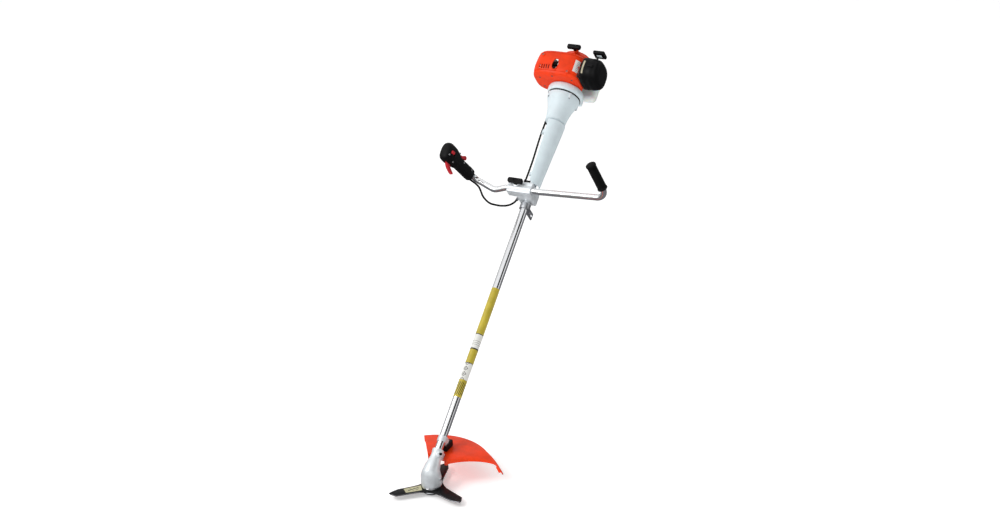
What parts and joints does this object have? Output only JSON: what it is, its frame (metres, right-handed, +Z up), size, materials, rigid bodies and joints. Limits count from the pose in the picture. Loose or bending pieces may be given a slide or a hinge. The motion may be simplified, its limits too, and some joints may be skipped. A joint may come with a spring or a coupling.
{
  "type": "brush cutter",
  "caption": "Petrol brush cutter: bull-horn handlebar, three-armed brush knife under an orange guard, long drive tube and a two-stroke engine.",
  "frame": {"origin": "lower end of the cutting spindle, on its axis; nothing of the machine is lower", "axes": "+Z up the spindle, square to the knife; +Y level from the knife towards the engine; +X to the operator's left. The drive tube rises 35 degrees above the knife's plane."},
  "size_m": [0.5921, 1.5122, 1.1267],
  "materials": {
    "cast_alloy": "satin cast",
    "chrome": "polished",
    "steel": "machined",
    "polished_aluminium": "polished",
    "blade_steel": "black lacquer",
    "orange_plastic": "semi-gloss",
    "black_plastic": "satin",
    "black_rubber": "matt",
    "light_plastic": "satin",
    "tank_plastic": "translucent satin",
    "red_plastic": "semi-gloss",
    "yellow_vinyl": "printed film",
    "filter_felt": "felt"
  },
  "bodies": {
    "machine": {"air_filter_cover": "black_plastic", "air_filter_element": "filter_felt", "blade_guard": "orange_plastic", "carburetor": "cast_alloy", "carrying_clamp": "steel", "clutch_housing": "light_plastic", "crankcase_front": "cast_alloy", "crankcase_rear": "cast_alloy", "cylinder": "cast_alloy", "drive_tube": "polished_aluminium", "engine_shroud": "orange_plastic", "fan_housing": "light_plastic", "fuel_tank": "tank_plastic", "gearbox_clamp_screw": "black_plastic", "gearbox_housing": "cast_alloy", "guard_bracket": "cast_alloy", "handle_clamp_cap": "cast_alloy", "handle_support_lower": "cast_alloy", "handle_support_upper": "cast_alloy", "hip_pad": "light_plastic", "machine_support": "black_plastic", "muffler": "steel", "pinion_bearing": "steel", "rubber_ring": "black_rubber", "shaft_liner": "black_plastic", "spark_plug": "steel", "spark_plug_boot": "black_rubber", "spindle_bearing": "steel", "starter_cover": "orange_plastic", "throttle_cable": "black_rubber", "tube_label": "yellow_vinyl"},
    "cutter": {"output_shaft": "steel", "bevel_gear": "steel", "thrust_plate": "chrome", "brush_knife": "blade_steel", "rider_plate": "steel", "spindle_nut": "steel"},
    "drive_line": {"drive_shaft": "steel", "bevel_pinion": "steel", "clutch_drum": "steel"},
    "crank": {"crankshaft_front": "steel", "crankshaft_rear": "steel", "flywheel": "cast_alloy"},
    "clutch_shoe_upper": {"clutch_shoe_1": "cast_alloy"},
    "clutch_shoe_lower": {"clutch_shoe_2": "cast_alloy"},
    "piston": {"piston": "cast_alloy", "connecting_rod": "steel"},
    "rope_rotor": {"rope_rotor": "black_plastic"},
    "starter_grip": {"starter_grip": "black_plastic"},
    "handlebar": {"handlebar": "chrome", "left_grip": "black_rubber", "throttle_housing_inner": "black_plastic", "throttle_housing_outer": "black_plastic"},
    "trigger": {"throttle_trigger": "red_plastic"},
    "lockout": {"trigger_lockout": "red_plastic"},
    "stop_switch": {"stop_switch": "red_plastic"},
    "wing_screw": {"wing_screw": "black_plastic"},
    "throttle_lever": {"throttle_lever": "steel"},
    "choke_lever": {"choke_lever": "black_plastic"},
    "fuel_cap": {"fuel_cap": "black_plastic"}
  },
  "joints": [
    {"name": "spindle_spin", "type": "hinge", "parent": "machine", "child": "cutter", "pos_m": [0, 0, 0.02], "axis": [0, 0, 1], "continuous": true},
    {"name": "drive_shaft_spin", "type": "hinge", "parent": "machine", "child": "drive_line", "pos_m": [0, 0.03277, 0.10094], "axis": [0, 0.8192, 0.5736], "continuous": true},
    {"name": "crank_spin", "type": "hinge", "parent": "machine", "child": "crank", "pos_m": [0, 1.30245, 0.98999], "axis": [0, 0.8192, 0.5736], "continuous": true},
    {"name": "clutch_shoe_upper_slide", "type": "slide", "parent": "crank", "child": "clutch_shoe_upper", "axis": [0, -0.5736, 0.8192], "range_m": [0, 0.0008], "stiffness_N_per_m": 3000, "springref_m": -0.001},
    {"name": "clutch_shoe_lower_slide", "type": "slide", "parent": "crank", "child": "clutch_shoe_lower", "axis": [0, 0.5736, -0.8192], "range_m": [0, 0.0008], "stiffness_N_per_m": 3000, "springref_m": -0.001},
    {"name": "piston_slide", "type": "slide", "parent": "machine", "child": "piston", "axis": [0, 0.5736, -0.8192], "range_m": [0, 0.03]},
    {"name": "rope_rotor_spin", "type": "hinge", "parent": "machine", "child": "rope_rotor", "pos_m": [0, 1.35979, 1.03014], "axis": [0, 0.8192, 0.5736], "range_deg": [-2010, 0]},
    {"name": "starter_pull", "type": "slide", "parent": "machine", "child": "starter_grip", "axis": [0, -0.5736, 0.8192], "range_m": [0, 0.7], "stiffness_N_per_m": 12, "springref_m": -0.4},
    {"name": "bar_tilt", "type": "hinge", "parent": "machine", "child": "handlebar", "pos_m": [0, 0.85805, 0.74596], "axis": [1, 0, 0], "range_deg": [-15, 15], "deforming": ["throttle_cable"]},
    {"name": "trigger_squeeze", "type": "hinge", "parent": "handlebar", "child": "trigger", "pos_m": [-0.23809, 0.76038, 0.88371], "axis": [0.9693, -0.1411, 0.2016], "range_deg": [0, 14], "stiffness_Nm_per_rad": 1, "springref_deg": -11.46},
    {"name": "lockout_press", "type": "hinge", "parent": "handlebar", "child": "lockout", "pos_m": [-0.22751, 0.81131, 0.8685], "axis": [-0.9693, 0.1411, -0.2016], "range_deg": [0, 6], "stiffness_Nm_per_rad": 0.5, "springref_deg": -8.59},
    {"name": "stop_switch_slide", "type": "slide", "parent": "handlebar", "child": "stop_switch", "axis": [0.2461, 0.5559, -0.794], "range_m": [0, 0.006]},
    {"name": "wing_screw_turn", "type": "hinge", "parent": "machine", "child": "wing_screw", "pos_m": [-0.03, 0.86305, 0.77021], "axis": [0, -0.5736, 0.8192], "range_deg": [0, 1080]},
    {"name": "throttle_lever_turn", "type": "hinge", "parent": "machine", "child": "throttle_lever", "pos_m": [0.057, 1.26296, 1.01849], "axis": [0, 0.8192, 0.5736], "range_deg": [0, 56]},
    {"name": "choke_turn", "type": "hinge", "parent": "machine", "child": "choke_lever", "pos_m": [0.108, 1.32636, 1.08486], "axis": [0, -0.8192, -0.5736], "range_deg": [0, 60]},
    {"name": "fuel_cap_turn", "type": "hinge", "parent": "machine", "child": "fuel_cap", "pos_m": [-0.048, 1.39732, 0.96608], "axis": [0, 0.8192, 0.5736], "range_deg": [0, 180]}
  ],
  "couplings": [
    {"joint": "drive_shaft_spin", "follows": "spindle_spin", "ratio": 1.4},
    {"joint": "throttle_lever_turn", "follows": "trigger_squeeze", "ratio": 4},
    {"joint": "rope_rotor_spin", "follows": "starter_pull", "rad_per_m": -50}
  ]
}
